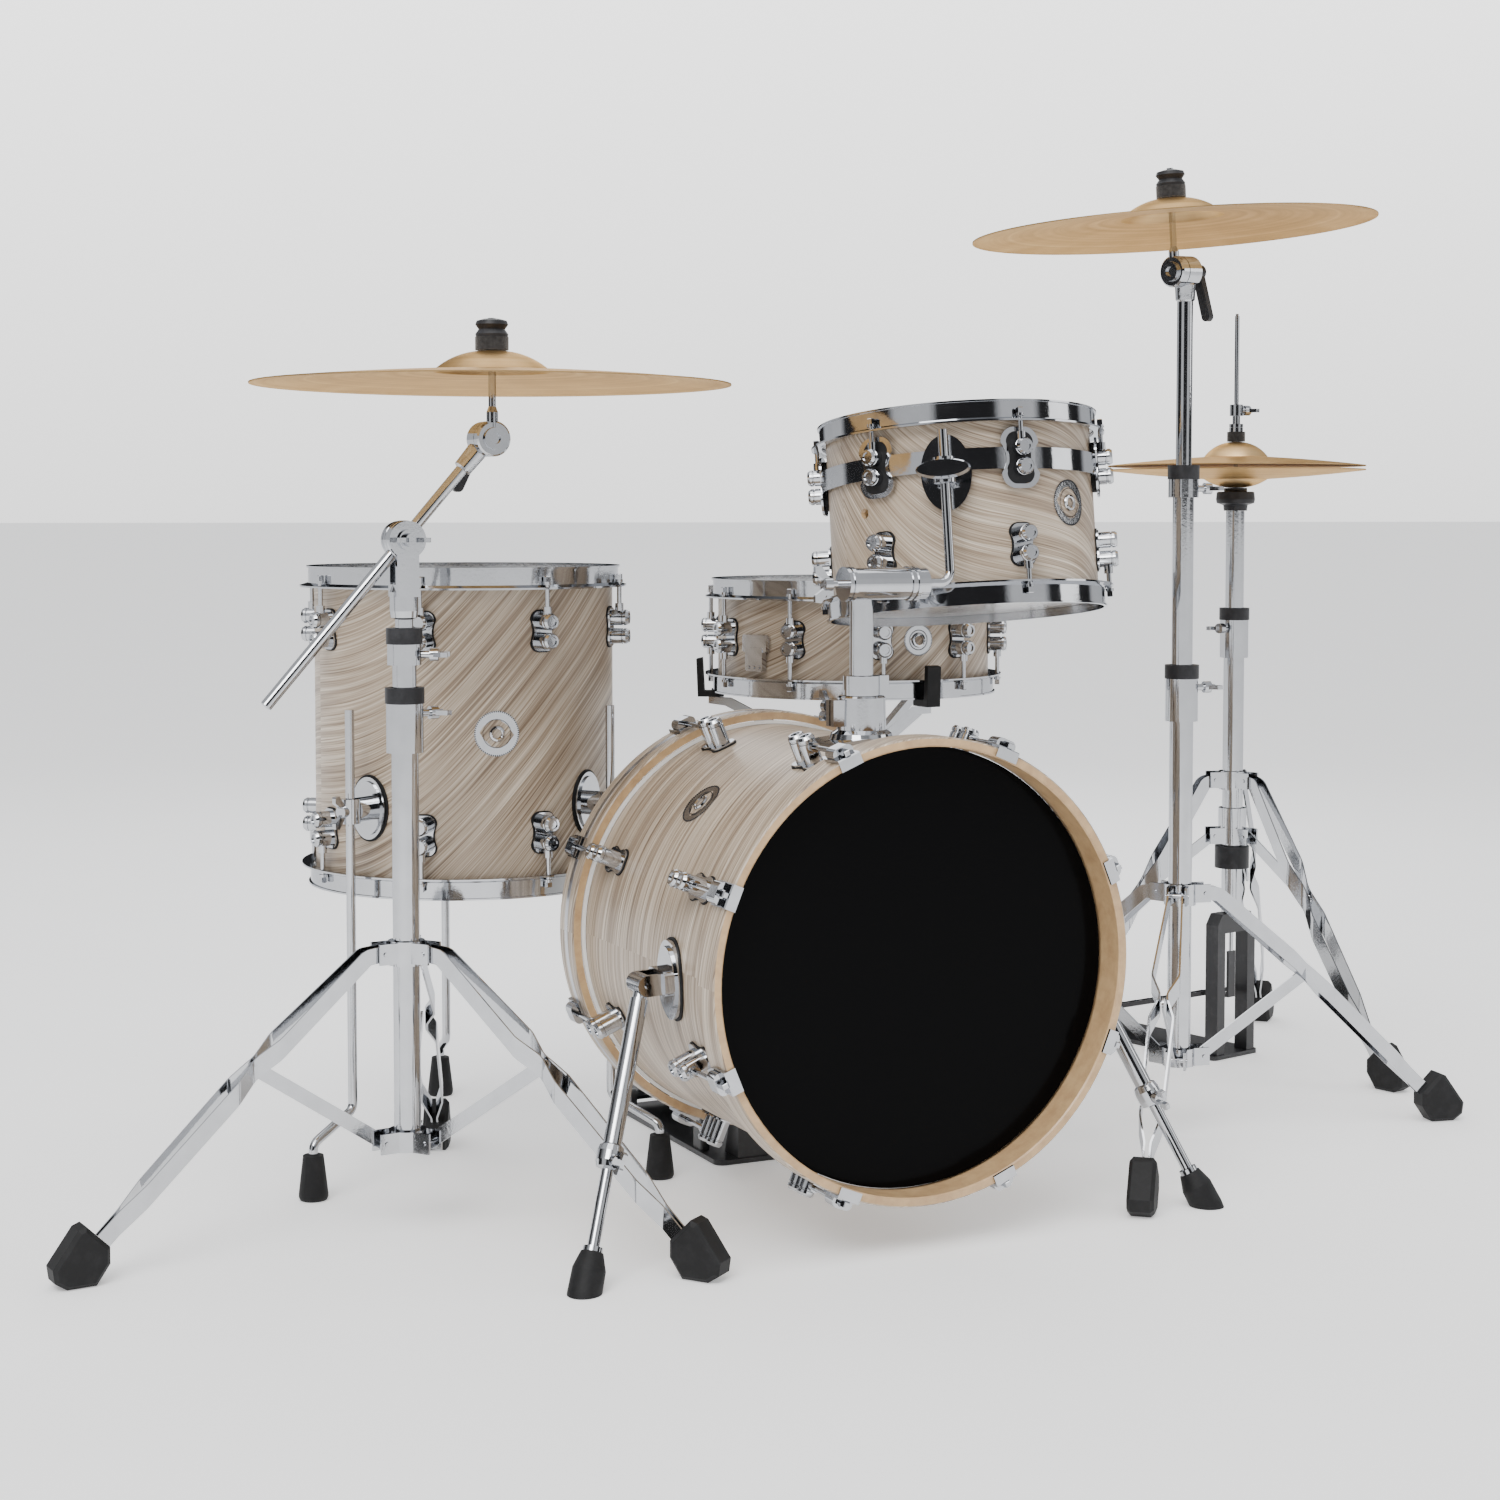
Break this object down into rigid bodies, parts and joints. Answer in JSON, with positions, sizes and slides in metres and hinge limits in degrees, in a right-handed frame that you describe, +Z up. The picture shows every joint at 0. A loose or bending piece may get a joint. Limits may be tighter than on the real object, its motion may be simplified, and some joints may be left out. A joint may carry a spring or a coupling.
{
  "type": "acoustic drum kit",
  "caption": "Acoustic drum kit: bass drum with mounted tom and pedal, floor tom, snare drum, ride and crash cymbals and a hi-hat, all on adjustable chrome stands.",
  "frame": {"origin": "on the floor below the middle of the whole kit", "axes": "+X to the right of someone facing the kit's front, along its width; +Y from the bass drum's front head towards the player; +Z up"},
  "size_m": [1.9294, 0.9658, 1.1833],
  "materials": {
    "shell_wrap": "satin",
    "hoop_wood": "satin",
    "head_film": "matte",
    "chrome": "polished",
    "snare_wire": "bright",
    "bronze": "lathed",
    "pedal_metal": "satin"
  },
  "bodies": {
    "kit": {"bass_shell": "shell_wrap", "bass_hoops": "hoop_wood", "bass_heads": "head_film", "bass_lugs": "chrome", "bass_claws": "chrome", "bass_spur_brackets": "chrome", "tom_mount_base": "chrome", "floor_tom_legs": "chrome", "crash_base_tube": "chrome", "crash_tripod": "chrome", "ride_base_tube": "chrome", "hihat_frame": "chrome", "snare_stand": "chrome", "pedal_frame": "pedal_metal"},
    "spur_left": {"bass_spur_left": "chrome"},
    "spur_right": {"bass_spur_right": "chrome"},
    "pedal_board": {"pedal_footboard": "pedal_metal"},
    "beater": {"pedal_beater": "pedal_metal"},
    "tom_holder": {"tom_post": "chrome"},
    "tom_arm": {"tom_l_arm": "chrome"},
    "rack_tom": {"rack_tom_shell": "shell_wrap", "rack_tom_heads": "head_film", "rack_tom_hoops": "chrome", "rack_tom_lugs": "chrome", "rack_tom_bracket": "chrome"},
    "floor_tom": {"floor_tom_shell": "shell_wrap", "floor_tom_heads": "head_film", "floor_tom_hoops": "chrome", "floor_tom_lugs": "chrome", "floor_tom_brackets": "chrome"},
    "snare": {"snare_basket": "chrome", "snare_shell": "shell_wrap", "snare_heads": "head_film", "snare_hoops": "chrome", "snare_lugs": "chrome", "snare_strainer": "chrome", "snare_wires": "snare_wire"},
    "throw_off": {"snare_lever": "chrome"},
    "ride_lower": {"ride_mid_tube": "chrome"},
    "ride_upper": {"ride_top_tube": "chrome"},
    "ride_boom_block": {"ride_boom_clamp": "chrome"},
    "ride_boom_arm": {"ride_boom": "chrome"},
    "ride_tilt_head": {"ride_tilter": "chrome"},
    "ride": {"ride_cymbal": "bronze"},
    "ride_collar": {"ride_leg_collar": "chrome"},
    "crash_lower": {"crash_mid_tube": "chrome"},
    "crash_upper": {"crash_top_tube": "chrome"},
    "crash_tilt_head": {"crash_tilter": "chrome"},
    "crash": {"crash_cymbal": "bronze"},
    "hihat_upper": {"hihat_upper_tube": "chrome", "hihat_bottom_cymbal": "bronze"},
    "hihat_pull": {"hihat_rod": "chrome", "hihat_top_cymbal": "bronze"},
    "hihat_board": {"hihat_footboard": "pedal_metal"},
    "ride_leg_1": {"ride_leg_1": "chrome"},
    "ride_brace_1": {"ride_brace_1": "chrome"},
    "ride_leg_2": {"ride_leg_2": "chrome"},
    "ride_brace_2": {"ride_brace_2": "chrome"},
    "ride_leg_3": {"ride_leg_3": "chrome"},
    "ride_brace_3": {"ride_brace_3": "chrome"}
  },
  "joints": [
    {"name": "spur_left_fold", "type": "hinge", "parent": "kit", "child": "spur_left", "pos_m": [-0.381, -0.34, 0.28], "axis": [0, 1, 0], "range_deg": [0, 55]},
    {"name": "spur_right_fold", "type": "hinge", "parent": "kit", "child": "spur_right", "pos_m": [0.143, -0.34, 0.28], "axis": [0, 1, 0], "range_deg": [-55, 0]},
    {"name": "pedal_press", "type": "hinge", "parent": "kit", "child": "pedal_board", "pos_m": [-0.119, 0.226, 0.022], "axis": [1, 0, 0], "range_deg": [0, 12], "stiffness_Nm_per_rad": 4, "springref_deg": -20.05},
    {"name": "beater_swing", "type": "hinge", "parent": "kit", "child": "beater", "pos_m": [-0.119, 0, 0.225], "axis": [1, 0, 0], "range_deg": [0, 53]},
    {"name": "tom_post_height", "type": "slide", "parent": "kit", "child": "tom_holder", "axis": [0, 0, 1], "range_m": [0, 0.05]},
    {"name": "tom_arm_tilt", "type": "hinge", "parent": "tom_holder", "child": "tom_arm", "pos_m": [-0.05391, -0.35443, 0.692], "axis": [1, 0, 0], "range_deg": [-10, 15]},
    {"name": "rack_tom_swivel", "type": "hinge", "parent": "tom_arm", "child": "rack_tom", "pos_m": [-0.02391, -0.34355, 0.78061], "axis": [0, 0.1219, 0.9925], "range_deg": [-12, 12]},
    {"name": "floor_tom_height", "type": "slide", "parent": "kit", "child": "floor_tom", "axis": [0, 0, 1], "range_m": [-0.06, 0.08]},
    {"name": "snare_height", "type": "slide", "parent": "kit", "child": "snare", "axis": [0, 0, 1], "range_m": [-0.03, 0.06]},
    {"name": "snare_throw_off", "type": "hinge", "parent": "snare", "child": "throw_off", "pos_m": [0.33611, 0.28128, 0.603], "axis": [-0.342, 0.9397, 0], "range_deg": [0, 80]},
    {"name": "ride_lower_height", "type": "slide", "parent": "kit", "child": "ride_lower", "axis": [0, 0, 1], "range_m": [-0.02, 0.15]},
    {"name": "ride_upper_height", "type": "slide", "parent": "ride_lower", "child": "ride_upper", "axis": [0, 0, 1], "range_m": [-0.005, 0.12]},
    {"name": "ride_boom_tilt", "type": "hinge", "parent": "ride_upper", "child": "ride_boom_block", "pos_m": [-0.58, -0.167, 0.739], "axis": [0, 1, 0], "range_deg": [-10, 15]},
    {"name": "ride_boom_slide", "type": "slide", "parent": "ride_boom_block", "child": "ride_boom_arm", "axis": [0.6561, 0, 0.7547], "range_m": [-0.05, 0.06]},
    {"name": "ride_tilt", "type": "hinge", "parent": "ride_boom_arm", "child": "ride_tilt_head", "pos_m": [-0.48684, -0.167, 0.84617], "axis": [0, -1, 0], "range_deg": [-15, 15]},
    {"name": "ride_spin", "type": "hinge", "parent": "ride_tilt_head", "child": "ride", "pos_m": [-0.48684, -0.185, 0.925], "axis": [0, 0, 1], "continuous": true},
    {"name": "ride_collar_slide", "type": "slide", "parent": "kit", "child": "ride_collar", "axis": [0, 0, 1], "range_m": [0, 0.08]},
    {"name": "ride_leg_1_fold", "type": "hinge", "parent": "ride_collar", "child": "ride_leg_1", "pos_m": [-0.56867, -0.14031, 0.302], "axis": [-0.9205, 0.3907, 0], "range_deg": [0, 18]},
    {"name": "ride_brace_1_fold", "type": "hinge", "parent": "kit", "child": "ride_brace_1", "pos_m": [-0.56867, -0.14031, 0.1], "axis": [-0.9205, 0.3907, 0], "range_deg": [-19, 0]},
    {"name": "ride_leg_2_fold", "type": "hinge", "parent": "ride_collar", "child": "ride_leg_2", "pos_m": [-0.60878, -0.17053, 0.302], "axis": [0.1219, -0.9925, 0], "range_deg": [0, 18]},
    {"name": "ride_brace_2_fold", "type": "hinge", "parent": "kit", "child": "ride_brace_2", "pos_m": [-0.60878, -0.17053, 0.1], "axis": [0.1219, -0.9925, 0], "range_deg": [-19, 0]},
    {"name": "ride_leg_3_fold", "type": "hinge", "parent": "ride_collar", "child": "ride_leg_3", "pos_m": [-0.56255, -0.19016, 0.302], "axis": [0.7986, 0.6018, 0], "range_deg": [0, 18]},
    {"name": "ride_brace_3_fold", "type": "hinge", "parent": "kit", "child": "ride_brace_3", "pos_m": [-0.56255, -0.19016, 0.1], "axis": [0.7986, 0.6018, 0], "range_deg": [-19, 0]},
    {"name": "crash_lower_height", "type": "slide", "parent": "kit", "child": "crash_lower", "axis": [0, 0, 1], "range_m": [-0.05, 0.1]},
    {"name": "crash_upper_height", "type": "slide", "parent": "crash_lower", "child": "crash_upper", "axis": [0, 0, 1], "range_m": [-0.05, 0.1]},
    {"name": "crash_tilt", "type": "hinge", "parent": "crash_upper", "child": "crash_tilt_head", "pos_m": [0.40207, -0.17552, 1.06], "axis": [-0.9646, -0.2601, -0.0426], "range_deg": [-15, 15]},
    {"name": "crash_spin", "type": "hinge", "parent": "crash_tilt_head", "child": "crash", "pos_m": [0.38117, -0.17853, 1.12912], "axis": [-0.0505, 0.0238, 0.9984], "continuous": true},
    {"name": "hihat_height", "type": "slide", "parent": "kit", "child": "hihat_upper", "axis": [0, 0, 1], "range_m": [0, 0.05]},
    {"name": "hihat_close", "type": "slide", "parent": "hihat_upper", "child": "hihat_pull", "axis": [0, 0, 1], "range_m": [-0.0041, 0], "stiffness_N_per_m": 3000, "springref_m": 0.01},
    {"name": "hihat_press", "type": "hinge", "parent": "kit", "child": "hihat_board", "pos_m": [0.67323, 0.4468, 0.02], "axis": [0.9703, 0.2419, 0], "range_deg": [0, 0.95]}
  ],
  "couplings": [
    {"joint": "beater_swing", "follows": "pedal_press", "ratio": 4.4},
    {"joint": "hihat_close", "follows": "hihat_press", "m_per_rad": -0.2455},
    {"joint": "ride_leg_1_fold", "follows": "ride_collar_slide", "rad_per_m": 3.802},
    {"joint": "ride_brace_1_fold", "follows": "ride_collar_slide", "rad_per_m": -4.093},
    {"joint": "ride_leg_2_fold", "follows": "ride_collar_slide", "rad_per_m": 3.802},
    {"joint": "ride_brace_2_fold", "follows": "ride_collar_slide", "rad_per_m": -4.093},
    {"joint": "ride_leg_3_fold", "follows": "ride_collar_slide", "rad_per_m": 3.802},
    {"joint": "ride_brace_3_fold", "follows": "ride_collar_slide", "rad_per_m": -4.093}
  ]
}
